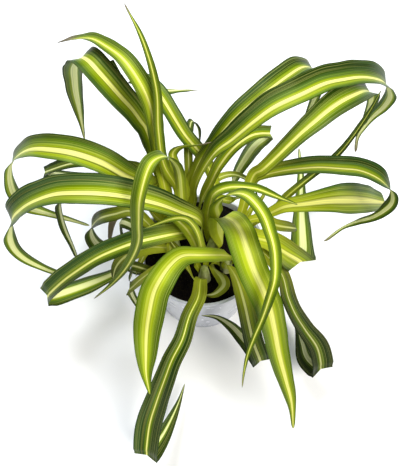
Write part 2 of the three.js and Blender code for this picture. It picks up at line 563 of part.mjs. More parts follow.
function makeLeaves() {
  const used = {};
  for (const [name, shoot, material, widths, line, rolls] of LEAVES) {
    const order = used[shoot] ?? 0;
    used[shoot] = order + 1;
    const parts = line.map((points) => points.map((point) => new THREE.Vector3(...point)));
    const foot = footOf(shoot, order, parts[0][0]);
    const middle = parts[0][Math.floor(parts[0].length / 2)];
    const facing = foot.points[0].clone().sub(middle).setZ(0).normalize();
    parts[0].unshift(...foot.points);
    addPiece(`leaf_${name}`, bladeGeometry(parts, facing, foot.away, widths, rolls), material);
  }
}

makePot();
makeSoil();
makeShoots();
makeLeaves();

export default group;
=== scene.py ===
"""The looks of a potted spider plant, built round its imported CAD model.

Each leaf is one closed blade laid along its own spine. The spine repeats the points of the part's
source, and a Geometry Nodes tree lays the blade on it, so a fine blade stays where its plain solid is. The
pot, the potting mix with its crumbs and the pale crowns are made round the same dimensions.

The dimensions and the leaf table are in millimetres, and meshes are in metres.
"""

import math
from collections import namedtuple
from types import SimpleNamespace

import bmesh
import bpy
import numpy as np
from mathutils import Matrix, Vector


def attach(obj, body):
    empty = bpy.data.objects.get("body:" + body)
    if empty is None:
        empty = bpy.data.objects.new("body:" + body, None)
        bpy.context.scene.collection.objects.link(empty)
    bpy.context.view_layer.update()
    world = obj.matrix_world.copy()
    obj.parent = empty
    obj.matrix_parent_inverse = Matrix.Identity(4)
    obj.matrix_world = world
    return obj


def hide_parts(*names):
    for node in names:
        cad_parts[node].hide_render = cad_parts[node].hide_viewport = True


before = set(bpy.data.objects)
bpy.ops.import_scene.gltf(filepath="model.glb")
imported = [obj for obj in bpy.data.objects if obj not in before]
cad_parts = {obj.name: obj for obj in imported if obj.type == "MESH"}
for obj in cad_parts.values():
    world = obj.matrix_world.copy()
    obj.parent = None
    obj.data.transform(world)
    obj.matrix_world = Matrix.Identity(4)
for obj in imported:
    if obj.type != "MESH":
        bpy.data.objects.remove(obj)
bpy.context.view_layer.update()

# ---- Driving dimensions, mm. The first groups are those of the part's source ----

MM = 0.001  # one millimetre, in metres

POT_HEIGHT = 102
POT_RIM_RADIUS = 66
POT_BASE_RADIUS = 52
POT_WALL = 2.2
POT_FLOOR = 3
LIP_HEIGHT = 3.4
LIP_STEP = 1
DRAIN_RADIUS = 4
DRAIN_CIRCLE = 26
DRAIN_COUNT = 4

SOIL_TOP = 93
SOIL_RELIEF = 1.6
FIT_GAP = 0.35

CROWN_RADIUS = 7
CROWN_TIP_RADIUS = 3.4
CROWN_HEADROOM = 3  # of a crown above the seat that would come after its last leaf's
NECK_DEPTH = 3
ROOT_DEPTH = 34
ROOT_TIP_RADIUS = 2
ROOT_BULGE = 0.8  # of the crown's radius
ROOT_BULGE_DEPTH = 0.45  # of the root's depth

LOWEST_SEAT = 5
SEAT_STEP = 4.4
SEAT_CLEARANCE = 0.75
SEAT_LEAN = 0.42
SEAT_RUN = 13

CHANNEL_BASE = 0.3
CHANNEL_MIDDLE = 0.26
CHANNEL_TIP = 0.45
CHANNEL_MIDDLE_SHARE = 0.4  # of a leaf's length
CREASE_NOTCH = 0.3
SPINE_STEPS_PER_MM = 0.5
LEAST_SPINE_STEPS = 8
CURVE_SAMPLES = 41  # between two hand points
LAST_SHARE = 0.99999  # keeps the tip inside the last step of a list of values
FOOT_TWIST_LENGTH = 60
SETTLING_LENGTH = 55

# The fine forms that only this script has
POT_SIDES = 160
POT_ROUNDING = 1.3
LIP_SLANT = 0.4
FOOT_RING_WIDTH = 5
FOOT_RING_HEIGHT = 0.8
MIX_SIDES = 120
MIX_RINGS = 34
MIX_FOOT_INSET = 3
LUMPS_END = 0.9  # share of the mix's radius where its lumps begin to die out
HOLE_SIDES = 32
HOLE_POINT = 4  # how far a shoot's hole goes on to its steep point, which holds no crumbs
BLADE_COLUMNS = 15  # points across one face of a blade
BLADE_SIZES = {
    "Thickness": 0.7,  # at the midrib
    "Edge Thickness": 0.25,
    "Ripple Height": 0.35,  # waves along the edges
    "Ripple Length": 34,
}
RIPPLE_SLANT = 0.9
MIDRIB_ROUNDING = 0.15  # how gently the channel turns at the midrib, per unit of half width
TIP_LENGTH = 5  # over which a blade closes to its point
TIP_WIDTH = 0.2  # of the width that the tip would have
FOLD_RADIUS = 0.65  # of the round nose of a crease
FOLD_STEPS = 5
FOLD_REACH = 10  # a crease dies out over at least this length of the blade
SKEW_REACH = 2.2  # and over at least this many times the skew of the crease
CRUMB_SIZE = 3.4
CRUMB_LEAST = (0.25, 0.25, 0.15)  # of that size, along a crumb's three axes
CRUMB_MOST = (1.0, 0.7, 0.5)
CRUMB_TURN = 6.28  # a crumb's turn about each axis is drawn from 0 to this
CRUMB_DENSITY = 210000  # crumbs on a square metre of the mix
CRUMB_SLOPE = 0.7  # faces that look up less than this hold no crumbs
CRUMB_SEED = 3
CROWN_SIDES = 56
CROWN_ROUNDING = 1.5
CROWN_RIBS = 7
RIB_DEPTH = 0.05  # of the crown's radius
RIB_TWIST = 0.25  # radians for each mm of height
CROWN_GREENING = 40  # height above the mix over which a crown turns greener
SEED_STEP = 2.4  # between the seeds of two leaves, which set their waves and streaks

# The colours of each kind of leaf: its stripe, the line beside the stripe, the flesh, the blade, the margin
# and the pale band of the underside. Then how strong its painted sheen is, a bluish painted reflection of
# the sky on its crests.
LEAF_COLORS = {
    "young": [(234, 232, 128), (168, 174, 48), (166, 178, 30), (124, 146, 12), (64, 88, 4), (220, 226, 132)],
    "green": [(236, 234, 132), (104, 114, 8), (142, 158, 6), (82, 110, 4), (28, 50, 2), (230, 234, 164)],
    # the shaded kind, for the low and inner leaves, is darker partly as older leaves are and partly by
    # painted shade
    "shaded": [(210, 212, 140), (60, 68, 8), (96, 112, 10), (50, 72, 4), (15, 27, 2), (212, 214, 164)],
}
LEAF_PAINTED_SHEEN = {"young": 0.0, "green": 0.1, "shaded": 0.03}
# colour of the painted sheen: a bluish painted reflection on the leaf crests
PAINTED_SHEEN_COLOR = (124, 172, 112)
FOOT_COLOR = (198, 204, 46)
HUSK_COLORS = ((82, 72, 52), (138, 126, 104))  # of a dried tip
MARKS = ["seed", "stripe", "band", "dry", "shade"]  # a leaf's seed and values that its finish reads

CAMERA_PLACE = (-2, -288, 664)
CAMERA_ELEVATION = 61.5  # degrees above the horizon
CAMERA_SENSOR = 36
CAMERA_LENS = 46.35

FLOOR_HALF = 3.0  # metres
SKY_COLOR = (244, 248, 255)
SKY_STRENGTH = 0.27
LIGHT_TARGET = (0, 0, 0.15)
# Name, place and breadth in metres, power in watts, colour
LIGHTS = [
    ("warm key", (0.7, -0.8, 1.7), 0.9, 35, (1.0, 0.97, 0.91)),
    ("cool top", (-0.4, 0.9, 1.6), 0.9, 35, (0.9, 0.95, 1.0)),
]

# ---- Shoots and leaves ----

# The place of each shoot's middle. A shoot's leaves are listed from its outermost to its innermost.
SHOOTS = {
    "back_left": (-30, 21),
    "back_middle": (-14, 36),
    "back": (9, 36),
    "middle": (10, -1),
    "right": (36, 14),
    "front_right": (25, -19),
    "front": (2, -31),
    "left": (-27, -8),
}

# widths: at even steps along the leaf. line: the points of its middle line, a new list at each crease.
# rolls: on a leaf that rolls, its roll in degrees at even steps. stripe: how far its stripe lies off the
# midrib, per unit of half width. dry: share of its length that has dried. band: breadth of its stripe, per
# unit of the usual breadth. shade: how much deeper its green is than its finish, from 0 to 1.
Leaf = namedtuple(
    "Leaf", "name shoot finish widths line rolls stripe dry band shade", defaults=(None, 0, 0, 1, 0)
)

LEAVES = [
    Leaf("left_under_slim", "back_left", "shaded", [6, 9, 12, 14, 13, 11, 8, 4],
         [[(-79, 52, 130), (-104, 40, 137), (-129, 37, 138), (-146, 41, 130), (-152, 42, 116),
          (-153, 37, 98), (-151, 30, 80), (-146, 21, 64), (-143, 14, 48)]], rolls=[0, 0, 0, 20, 20],
         stripe=0.1),
    Leaf("left_back_folded", "back_left", "shaded", [8, 11, 14, 15, 11, 1.2],
         [[(-65, 78, 132), (-86, 77, 140), (-113, 80, 142), (-139, 82, 138), (-173, 83, 120)],
          [(-173, 83, 120), (-146, 89, 106), (-100, 95, 96), (-81, 97, 90)]], stripe=-0.1),
    Leaf("left_upper", "back_left", "green", [8, 14, 22, 25, 25, 23, 20, 17, 8, 3],
         [[(-50, 22, 136), (-57, 34, 160), (-54, 35, 168), (-72, 33, 190), (-93, 37, 207),
          (-117, 43, 213), (-142, 51, 208), (-163, 60, 196), (-179, 66, 180), (-192, 69, 162),
          (-200, 69, 144), (-203, 65, 128), (-202, 60, 112), (-195, 55, 98), (-174, 54, 82),
          (-150, 53, 68), (-131, 52, 56)]], rolls=[0, -8, -12, -6, 20, 25], stripe=-0.22, band=1.15,
         shade=0.15),
    Leaf("back_left_broad", "back_left", "green", [8, 15, 21, 27, 27, 24, 18, 2],
         [[(-41, 50, 152), (-55, 82, 196), (-60, 84, 207), (-67, 88, 219), (-76, 90, 234),
          (-86, 96, 246), (-95, 104, 252), (-104, 115, 253), (-113, 127, 246), (-121, 138, 230),
          (-130, 152, 206), (-136, 164, 178), (-140, 169, 152), (-142, 171, 126), (-142, 165, 104),
          (-141, 154, 84)]], stripe=-0.05, dry=0.03, band=0.9, shade=0.35),
    Leaf("back_left_slim", "back_left", "young", [8, 12, 14, 16, 17, 16, 14, 11, 3],
         [[(-37, 40, 150), (-43, 59, 186), (-44, 61, 212), (-44, 59, 238), (-46, 63, 256),
          (-51, 70, 268), (-59, 82, 274), (-70, 98, 275), (-86, 117, 270), (-103, 137, 260),
          (-123, 152, 245), (-145, 165, 228)]], stripe=-0.1, dry=0.12, band=0.8),
    Leaf("back_upright_slim", "back_left", "young", [6.2, 9, 9.9, 8.6, 5.6, 1.2],
         [[(-25, 40, 150), (-37, 46, 186), (-40, 52, 232), (-40, 66, 272), (-49, 89, 300),
          (-67, 128, 308)]], dry=0.07, shade=0.3, band=0.7),
    Leaf("centre_left_hanging", "back_left", "young", [7.5, 13.7, 14.7, 12.2, 7.7, 1.2],
         [[(-21, 16, 150), (-23, 30, 195), (-28, 19, 232), (-34, 12, 248), (-44, -1, 256),
          (-53, -23, 240), (-56, -33, 214), (-58, -39, 190), (-70, -45, 156), (-89, -50, 122),
          (-111, -54, 92)]], stripe=-0.2, dry=0.05, band=0.7, shade=0.4),
    Leaf("back_small_curl", "back_left", "young", [5, 9, 10, 9, 6, 1.2],
         [[(-16, 33, 160), (-29, 57, 187), (-26, 58, 196), (-19, 56, 204), (-5, 54, 208),
          (8, 57, 208)]], dry=0.12),
    Leaf("back_left_shaded", "back_middle", "shaded", [7, 12, 14, 14, 12, 7, 1.2],
         [[(-23, 53, 140), (-52, 83, 160), (-61, 96, 178), (-71, 114, 190), (-84, 136, 198),
          (-97, 168, 200)],
          [(-96, 160, 208), (-103, 165, 178), (-109, 163, 150)]]),
    Leaf("back_short_loop", "back_middle", "shaded", [5.6, 7.3, 8.8, 8.6, 6, 1.2],
         [[(-13, 53, 140), (-14, 64, 160), (-14, 77, 180), (-11, 96, 190), (-5, 98, 178),
          (-3, 94, 146)]]),
    Leaf("back_right_kinked", "back_middle", "green", [7, 11, 13, 15, 17, 18, 15, 9],
         [[(0, 36, 142), (8, 39, 166), (16, 45, 186), (26, 54, 197), (37, 62, 203), (49, 70, 203),
          (67, 76, 198)],
          [(67, 76, 198), (54, 80, 176), (45, 87, 140), (37, 86, 112), (34, 87, 94)]],
         rolls=[0, 0, 0, 0, -45, -50], stripe=0.12),
    Leaf("back_right_high", "back_middle", "green", [7, 9, 12, 17, 21, 22, 18, 13, 4],
         [[(-12, 52, 148), (-4, 60, 172), (3, 62, 186), (27, 69, 228), (46, 81, 240), (61, 91, 246),
          (76, 105, 246), (92, 121, 241), (106, 133, 226), (115, 142, 205), (119, 146, 180),
          (119, 149, 155), (115, 147, 130)]], rolls=[0, 0, 0, 4, 0, 0], stripe=0.25, band=0.9,
         shade=0.2),
    Leaf("back_right_long", "back_middle", "green", [8, 10, 13, 20, 24, 26, 28, 29, 25, 16, 8, 4],
         [[(-8, 46, 150), (11, 52, 201), (27, 53, 222), (44, 56, 243), (61, 62, 256), (84, 71, 262),
          (107, 87, 258), (126, 99, 250), (145, 111, 240), (163, 122, 227), (179, 133, 210),
          (191, 140, 190), (197, 144, 172), (196, 146, 155), (191, 149, 136), (186, 149, 118),
          (181, 145, 102), (181, 135, 86)]], rolls=[0, 4, 8, 10, 12, 11, 10, 20, 5, 0, 0], stripe=0.3,
         dry=0.06, band=0.9, shade=0.15),
    Leaf("back_small_arch", "back", "shaded", [5.6, 7.3, 8.8, 8.6, 6, 1.2],
         [[(7, 53, 134), (16, 61, 140), (31, 66, 140), (48, 67, 128), (57, 65, 112), (62, 60, 100)]]),
    Leaf("back_left_folded", "back", "green", [7.5, 13, 17, 16, 10, 1.2],
         [[(15, 42, 137), (9, 56, 156), (0, 69, 169), (-18, 76, 196), (-41, 100, 225), (-56, 124, 218),
          (-73, 141, 202)],
          [(-73, 141, 202), (-42, 159, 166), (-25, 175, 148), (-4, 193, 128)]], dry=0.06, shade=0.3),
    Leaf("back_inner_young", "back", "young", [7, 11, 12, 9, 4],
         [[(12, 31, 147), (30, 25, 153), (33, 21, 164), (44, 18, 176)]]),
    Leaf("left_front_folded", "middle", "green", [8, 16, 22, 23, 24, 25, 22, 12],
         [[(-14, -6, 146), (-23, -9, 151), (-44, -14, 152), (-67, -18, 148), (-85, -22, 142),
          (-104, -26, 132), (-124, -32, 118), (-143, -38, 102), (-165, -47, 80)],
          [(-165, -47, 80), (-148, -35, 68), (-125, -22, 60), (-107, -11, 54), (-91, -1, 50)]],
         stripe=-0.12, band=0.8, shade=0.7),
    Leaf("left_long", "middle", "green", [8, 13, 21, 27, 29, 30, 21, 13, 6],
         [[(-3, -4, 168), (-22, -6, 190), (-39, -7, 205), (-66, -7, 218), (-87, -8, 225),
          (-110, -6, 223), (-130, -1, 213), (-151, 2, 198), (-169, 4, 181), (-183, 4, 163),
          (-189, 2, 144), (-194, -1, 124), (-194, -4, 106), (-188, -6, 88), (-174, -8, 70),
          (-157, -11, 58)]], rolls=[0, -4, -8, -12, -12, -10, -10, -26, 26, 25, 25], stripe=-0.24,
         band=0.95, shade=0.25),
    Leaf("front_right_broad", "middle", "young", [8, 21, 26, 27, 26, 24, 20, 13, 3],
         [[(17, -4, 150), (18, -5, 172), (26, -17, 187), (32, -35, 199), (36, -56, 207),
          (41, -75, 207), (48, -89, 200), (55, -100, 186), (61, -111, 164), (68, -127, 136),
          (76, -143, 112), (83, -159, 92), (86, -179, 74)]], stripe=-0.12, band=1.1),
    Leaf("centre_right_curl", "middle", "young", [8, 13, 14.5, 12.5, 10, 7, 1.2],
         [[(5, 9, 146), (6, 6, 168), (8, 5, 186), (10, 4, 199), (16, 3, 209), (25, 2, 215),
          (36, 0, 218), (47, -1, 217), (58, -3, 213), (71, -4, 205), (87, -2, 192)]],
         rolls=[0, 30, 38, 10, 0, 0], shade=0.2, band=0.8),
    Leaf("centre_front_curl", "middle", "young", [8, 13, 15, 13.5, 11, 8, 5, 1.2],
         [[(15, 4, 149), (15, 0, 168), (13, -3, 189), (17, -8, 210), (22, -14, 226), (30, -18, 236),
          (37, -24, 241), (44, -33, 242), (50, -43, 240), (54, -55, 237), (57, -67, 234),
          (58, -79, 230), (57, -93, 226), (53, -105, 214), (49, -114, 196), (43, -125, 180),
          (38, -136, 166), (35, -149, 154), (34, -158, 146)]], dry=0.04, shade=0.45, band=0.8),
    Leaf("right_tiny", "right", "shaded", [3.8, 5.2, 6, 5.4, 3.8, 1.2],
         [[(54, 37, 126), (62, 40, 136), (67, 52, 140)]]),
    Leaf("right_short", "right", "shaded", [7.5, 11, 13, 13.5, 12, 8],
         [[(60, 21, 127), (75, 17, 120), (92, 21, 107), (101, 25, 98)]]),
    Leaf("right_front_folded", "right", "shaded", [8, 15, 17, 19, 26, 20, 1.2],
         [[(61, -9, 111), (73, -19, 104), (83, -30, 95), (88, -51, 89), (94, -68, 87), (106, -80, 71),
          (120, -95, 56), (126, -115, 40)],
          [(126, -115, 40), (113, -98, 33), (110, -81, 28), (107, -63, 23), (103, -50, 18)]],
         band=0.6),
    Leaf("right_kinked", "right", "green", [9, 24, 31, 28, 22, 14, 8, 3],
         [[(56, -2, 126), (66, -4, 124), (78, -8, 116), (92, -12, 103), (106, -14, 88)],
          [(106, -14, 88), (111, 10, 76), (114, 42, 66), (117, 74, 58), (120, 108, 52), (123, 143, 46),
          (124, 173, 42)]], stripe=0.05, dry=0.04, band=0.9),
    Leaf("right_back_slim", "right", "green", [6, 8, 8, 7, 5, 1.2],
         [[(71, 27, 128), (87, 39, 142), (105, 48, 158), (133, 66, 172), (147, 76, 191),
          (166, 102, 200), (182, 131, 197)]], stripe=0.1, band=0.5),
    Leaf("right_broad", "right", "green", [8, 9, 13, 19, 26, 33, 34, 32, 28, 20],
         [[(60, 17, 136), (71, 20, 142), (82, 22, 149), (103, 24, 152), (127, 33, 143), (152, 45, 125),
          (181, 60, 99), (199, 70, 80), (213, 77, 66)]], rolls=[0, 14, 22, 22, 14, 0], stripe=0.12,
         band=1.5),
    Leaf("right_long", "right", "green", [7, 11, 15, 18, 20, 21, 18, 12.5, 8, 4],
         [[(53, 46, 164), (60, 48, 167), (76, 50, 172), (93, 48, 180), (113, 48, 183), (134, 46, 184),
          (151, 47, 180), (165, 46, 174), (176, 43, 168), (184, 40, 160), (190, 36, 152),
          (191, 31, 143), (185, 28, 131), (177, 28, 118), (166, 31, 104), (154, 31, 91),
          (134, 20, 78)]], rolls=[0, 5, 10, 12, 14, 14, 6, -50, -22, -5, 0], stripe=0.25, dry=0.05,
         band=0.75, shade=0.35),
    Leaf("right_back", "right", "green", [8, 11, 14, 18, 25, 29, 24, 14, 6],
         [[(51, 45, 172), (58, 45, 180), (72, 53, 192), (83, 61, 200), (94, 69, 207), (106, 78, 212),
          (118, 88, 215), (133, 101, 214), (148, 113, 210), (164, 129, 198), (177, 141, 180),
          (181, 144, 160), (182, 145, 143), (180, 141, 128)]], rolls=[0, 8, 10, 6, 0, 0], stripe=0.05,
         band=0.9, shade=0.3),
    Leaf("pot_curl", "front_right", "shaded", [5, 9, 12, 13, 12, 9, 3],
         [[(10, -19, 102), (14, -27, 103), (20, -35, 104), (22, -43, 104), (18, -49, 104),
          (11, -54, 104), (3, -55, 104)]]),
    Leaf("front_right_folded", "front_right", "shaded", [7, 14, 18, 20, 18, 12, 1.2],
         [[(24, -28, 118), (28, -35, 123), (34, -51, 129), (40, -73, 126), (45, -88, 110),
          (50, -101, 94), (59, -115, 72)],
          [(59, -115, 72), (51, -98, 66), (41, -84, 62), (30, -72, 62), (15, -63, 63), (-1, -61, 63)]]),
    Leaf("front_left_arch", "front_right", "young", [8, 13, 17, 22, 27, 21, 3],
         [[(37, -22, 122), (31, -30, 140), (17, -38, 158), (-1, -44, 170), (-18, -50, 180),
          (-28, -62, 186), (-36, -76, 187), (-41, -85, 182), (-45, -99, 172), (-48, -113, 160),
          (-49, -131, 150), (-49, -146, 143), (-46, -162, 137)]], stripe=0.1),
    Leaf("pot_inner", "front", "shaded", [6.2, 8.1, 9.8, 9.6, 6.7, 1.2],
         [[(-6, -46, 116), (-13, -41, 128), (-20, -31, 140), (-37, -5, 140)]]),
    Leaf("front_long_folded", "front", "green", [8, 13, 15, 18, 22, 26, 22, 11, 1.2],
         [[(-2, -53, 134), (-4, -76, 148), (-12, -97, 154), (-18, -117, 150), (-27, -132, 140),
          (-34, -145, 124), (-43, -161, 98), (-50, -176, 76), (-55, -202, 50)],
          [(-55, -202, 50), (-41, -180, 36), (-33, -163, 28), (-25, -142, 20), (-19, -121, 14)]],
         stripe=0.02, band=0.4, shade=0.6),
    Leaf("young_short", "front", "young", [7.5, 10.4, 12, 10.7, 7, 1.2],
         [[(-5, -27, 128), (-7, -21, 147), (-15, -12, 162), (-25, -4, 168), (-38, 8, 166),
          (-52, 18, 156)]]),
    Leaf("young_curl", "front", "young", [5.6, 8.1, 8.9, 7.7, 5.1, 1.2],
         [[(3, -27, 132), (-1, -27, 154), (-4, -24, 172), (-8, -22, 186), (-15, -22, 200),
          (-24, -25, 207), (-51, -29, 196)]]),
    Leaf("left_dry_slim", "left", "shaded", [4.5, 6, 8, 10, 8, 4],
         [[(-50, 13, 119), (-68, 30, 118), (-84, 38, 108), (-97, 36, 94), (-104, 25, 68)]],
         rolls=[0, 0, 0, 30, 70, 70], dry=0.3),
    Leaf("left_low_curl", "left", "shaded", [5.6, 8, 10, 11, 9, 4],
         [[(-49, 0, 122), (-68, -2, 114), (-80, -7, 102), (-82, -13, 90), (-74, -17, 80),
          (-61, -17, 73)]], dry=0.1),
    Leaf("left_low_small", "left", "shaded", [5, 6.5, 7.8, 7.7, 5.4, 1.2],
         [[(-39, -6, 122), (-54, -11, 120), (-63, -20, 108), (-70, -27, 88)]]),
    Leaf("left_low_folded", "left", "shaded", [7.5, 9, 10, 9, 6],
         [[(-31, -21, 118), (-50, -32, 114), (-77, -39, 84)],
          [(-77, -39, 84), (-73, -43, 64), (-67, -51, 55)]]),
    Leaf("left_low_short", "left", "shaded", [8, 12, 15, 15, 10, 1.2],
         [[(-34, -14, 127), (-53, -14, 130), (-76, -17, 118), (-89, -22, 102), (-95, -30, 84)]],
         rolls=[0, 80, 120, 130, 120, 112]),
    Leaf("left_inner_curl", "left", "shaded", [6, 10, 13, 15, 17, 18, 17],
         [[(-45, 3, 128), (-71, 20, 142), (-89, 19, 138), (-103, 21, 128), (-112, 24, 114),
          (-119, 23, 100), (-120, 21, 86), (-115, 17, 74), (-105, 14, 64)]],
         rolls=[0, 0, -10, -10, 20, 30]),
    Leaf("left_inner_slim", "left", "shaded", [5, 8, 12, 12, 7],
         [[(-36, 12, 101), (-55, 10, 112), (-84, 23, 115), (-90, 29, 92), (-89, 20, 78)]]),
    Leaf("left_inner_short", "left", "shaded", [6, 8, 10, 10, 6],
         [[(-34, -21, 102), (-44, -29, 103), (-71, -25, 109), (-73, -22, 90), (-78, -27, 76)]]),
]

# ---- Node trees ----


def math_on_value(operation, swapped=False):
    """A method for Value: it adds a math node that is fed the value and what stands beside it."""

    def method(self, *others):
        values = (*others, self) if swapped else (self, *others)
        return self.graph.math(operation, *values)

    return method


class Value:
    """An output of a node. Arithmetic on it adds math nodes to its graph."""

    __add__ = math_on_value("ADD")
    __sub__ = math_on_value("SUBTRACT")
    __rsub__ = math_on_value("SUBTRACT", swapped=True)
    __mul__ = math_on_value("MULTIPLY")
    __truediv__ = math_on_value("DIVIDE")
    __pow__ = math_on_value("POWER")
    __abs__ = math_on_value("ABSOLUTE")

    def __init__(self, graph, socket):
        self.graph = graph
        self.socket = socket


class Graph:
    """Adds nodes to a node tree and joins them up."""

    def __init__(self, tree):
        self.tree = tree

    def add(self, kind, feeds=None, out=0, **settings):
        """Adds a node, makes its settings, feeds its inputs, and returns one of its outputs."""
        node = self.tree.nodes.new(kind)
        for name, value in settings.items():
            setattr(node, name, value)
        for key, value in (feeds or {}).items():
            self.feed(node.inputs[key], value)
        return Value(self, node.outputs[out]) if len(node.outputs) else None

    def feed(self, socket, value):
        """Links an output to a socket, or sets the socket to a plain value."""
        if isinstance(value, Value):
            self.tree.links.new(value.socket, socket)
        else:
            socket.default_value = value

    def math(self, operation, *values):
        return self.add("ShaderNodeMath", dict(enumerate(values)), operation=operation)

    def ease(self, value, start, end):
        """0 up to start, 1 from end on, and smooth between them."""
        feeds = {"Value": value, "From Min": start, "From Max": end}
        return self.add("ShaderNodeMapRange", feeds, interpolation_type="SMOOTHSTEP")


def geometry_tree(name, inputs):
    """A Geometry Nodes tree with named inputs. Returns it, its graph and its inputs' outputs by name."""
    tree = bpy.data.node_groups.new(name, "GeometryNodeTree")
    tree.interface.new_socket("Geometry", in_out="INPUT", socket_type="NodeSocketGeometry")
    for title, kind in inputs.items():
        tree.interface.new_socket(title, in_out="INPUT", socket_type=f"NodeSocket{kind}")
    tree.interface.new_socket("Geometry", in_out="OUTPUT", socket_type="NodeSocketGeometry")
    graph = Graph(tree)
    outputs = tree.nodes.new("NodeGroupInput").outputs
    return tree, graph, {socket.name: Value(graph, socket) for socket in outputs if socket.name}


def close_tree(graph, geometry, finish):
    """Ends a Geometry Nodes tree: real geometry, smooth, in its finish."""
    real = graph.add("GeometryNodeRealizeInstances", {"Geometry": geometry})
    smooth = graph.add("GeometryNodeSetShadeSmooth", {"Geometry": real})
    painted = graph.add("GeometryNodeSetMaterial", {"Geometry": smooth, "Material": finish})
    graph.add("NodeGroupOutput", {"Geometry": painted})


def grow(piece, tree, values):
    """Runs a tree on a piece with its inputs set, and leaves the piece with the plain mesh it made."""
    modifier = piece.modifiers.new(tree.name, "NODES")
    modifier.node_group = tree
    for item in tree.interface.items_tree:
        if item.in_out == "INPUT" and item.name in values:
            modifier[item.identifier] = values[item.name]
    settle(piece)


# ---- Meshes ----


def add_object(name, data):
    thing = bpy.data.objects.new(name, data)
    bpy.context.scene.collection.objects.link(thing)
    return thing


def settle(piece):
    """Leaves a piece with the plain mesh that its modifiers make."""
    depsgraph = bpy.context.evaluated_depsgraph_get()
    mesh = bpy.data.meshes.new_from_object(
        piece.evaluated_get(depsgraph), preserve_all_data_layers=True, depsgraph=depsgraph
    )
    mesh.name = piece.name
    piece.modifiers.clear()
    piece.data = mesh


def hand_over(piece, slot, *nodes):
    """A finished piece rides on the body, and the CAD nodes that it stands for are hidden."""
    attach(piece, "root")
    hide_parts(*nodes)


def grid_mesh(name, rows):
    """A mesh from rows of points, in mm. Each row is a closed loop, and each end row is one point."""
    loop = len(rows[1])
    points, starts = [], []
    for row in rows:
        starts.append(len(points))
        points.extend(row)
    faces = []
    for near, far, near_row, far_row in zip(starts, starts[1:], rows, rows[1:]):
        for i in range(loop):
            j = (i + 1) % loop
            if len(near_row) == 1:
                faces.append((near, far + j, far + i))
            elif len(far_row) == 1:
                faces.append((near + i, near + j, far))
            else:
                faces.append((near + i, near + j, far + j, far + i))
    mesh = bpy.data.meshes.new(name)
    mesh.from_pydata([tuple(c * MM for c in point) for point in points], [], faces)
    mesh.shade_smooth()
    return mesh


def turned_mesh(name, profile, sides, move=lambda x, y, z: (x, y, z)):
    """A body turned about Z from (radius, height) pairs that start and end on the axis, its points moved."""
    angles = [2 * math.pi * i / sides for i in range(sides)]
    rows = []
    for radius, height in profile:
        row = [(radius * math.cos(a), radius * math.sin(a), height) for a in angles]
        rows.append([move(*point) for point in (row if radius else row[:1])])
    return grid_mesh(name, rows)


def cut_holes(piece, profile, places):
    """Cuts holes of a turned profile out of a piece, one at each place."""
    joined = bmesh.new()
    for x, y, z in places:
        hole = turned_mesh("hole", profile, HOLE_SIDES, lambda dx, dy, dz: (x + dx, y + dy, z + dz))
        joined.from_mesh(hole)
    mesh = bpy.data.meshes.new("holes")
    joined.to_mesh(mesh)
    joined.free()
    holes = add_object("holes", mesh)
    cut = piece.modifiers.new("holes", "BOOLEAN")
    cut.operation = "DIFFERENCE"
    cut.object = holes
    cut.solver = "EXACT"
    settle(piece)
    bpy.data.objects.remove(holes)


def rounded(corners, radius, steps=4):
    """A profile whose inner corners are rounded, each by as much as its neighbours leave room for."""
    profile = [corners[0]]
    for before, corner, after in zip(corners, corners[1:], corners[2:]):
        into, out = np.subtract(before, corner), np.subtract(after, corner)
        reach = min(radius, np.linalg.norm(into) / 2, np.linalg.norm(out) / 2)
        start = corner + unit(into) * reach
        end = corner + unit(out) * reach
        for i in range(steps + 1):
            t = i / steps
            profile.append(tuple(start * (1 - t) ** 2 + 2 * np.array(corner) * t * (1 - t) + end * t**2))
    return [*profile, corners[-1]]


# ---- Spines ----


def unit(vector):
    return vector / np.linalg.norm(vector)


def mix(start, end, share):
    return start + (end - start) * share


def smooth(value, start, end):
    """0 up to start, 1 from end on, and smooth between them."""
    share = min(max((value - start) / (end - start), 0), 1)
    return share * share * (3 - 2 * share)


def spun(vector, axis, angle):
    """A vector turned about an axis that is square to it."""
    return vector * math.cos(angle) + np.cross(axis, vector) * math.sin(angle)


def value_along(values, share):
    """The value at a share of a leaf's length, from values at even steps, eased from each to the next."""
    place = min(share, LAST_SHARE) * (len(values) - 1)
    step = int(place)
    before = values[max(step - 1, 0)]
    start, end = values[step : step + 2]
    after = values[min(step + 2, len(values) - 1)]
    t = place - step
    square = 2 * before - 5 * start + 4 * end - after
    cube = 3 * (start - end) + after - before
    return start + 0.5 * ((end - before) * t + square * t**2 + cube * t**3)


